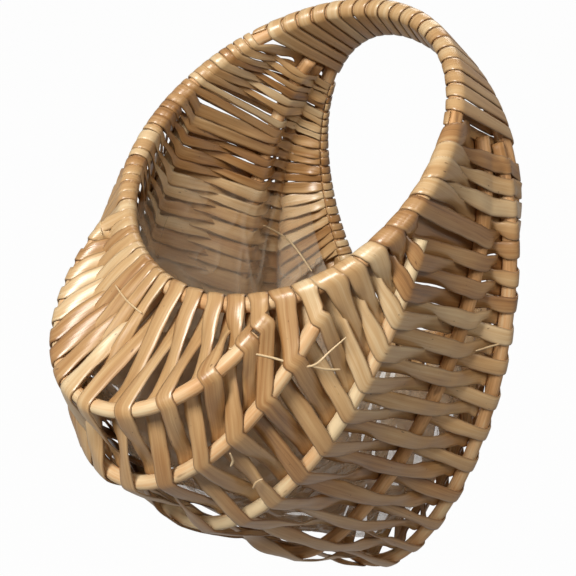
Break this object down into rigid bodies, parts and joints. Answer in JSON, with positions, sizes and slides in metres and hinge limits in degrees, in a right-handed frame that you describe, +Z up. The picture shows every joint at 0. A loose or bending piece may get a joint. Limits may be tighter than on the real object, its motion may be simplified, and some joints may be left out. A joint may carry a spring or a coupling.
{
  "type": "half-round hanging basket",
  "caption": "Flat-backed rib basket woven from split willow or cane strips on round rods, with two hoops bound into a handle; hangs on a hook and holds flowers, fruit or letters.",
  "frame": {"origin": "middle of the bounding box at its lowest point", "axes": "+Z up as it hangs, the flat back towards +Y, the belly and front mouth towards -Y, +X to the right seen from the front"},
  "size_m": [0.16, 0.1948, 0.3],
  "materials": {
    "peeled_rod": "satin",
    "splint_straw": "satin",
    "splint_pale": "satin",
    "splint_honey": "satin",
    "splint_tan": "satin",
    "binding_splint": "satin",
    "clear_film": "gloss"
  },
  "bodies": {
    "root": {"front_hoop": "peeled_rod", "back_hoop": "peeled_rod", "rib_1": "peeled_rod", "rib_2": "peeled_rod", "rib_3": "peeled_rod", "rib_4": "peeled_rod", "rib_5": "peeled_rod", "rib_6": "peeled_rod", "weaver_01": "splint_straw", "weaver_02": "splint_pale", "weaver_03": "splint_honey", "weaver_04": "splint_tan", "weaver_05": "splint_straw", "weaver_06": "splint_pale", "weaver_07": "splint_honey", "weaver_08": "splint_tan", "weaver_09": "splint_straw", "weaver_10": "splint_pale", "weaver_11": "splint_honey", "weaver_12": "splint_tan", "weaver_13": "splint_straw", "weaver_14": "splint_pale", "weaver_15": "splint_honey", "weaver_16": "splint_tan", "weaver_17": "splint_straw", "weaver_18": "splint_pale", "weaver_19": "splint_honey", "weaver_20": "splint_tan", "weaver_21": "splint_straw", "weaver_22": "splint_pale", "weaver_23": "splint_honey", "weaver_24": "splint_tan", "weaver_25": "splint_straw", "weaver_26": "splint_pale", "weaver_27": "splint_honey", "weaver_28": "splint_tan", "weaver_29": "splint_straw", "weaver_30": "splint_pale", "weaver_31": "splint_honey", "weaver_32": "splint_tan", "weaver_33": "splint_straw", "weaver_34": "splint_pale", "handle_binding": "binding_splint", "liner": "clear_film"}
  },
  "joints": []
}
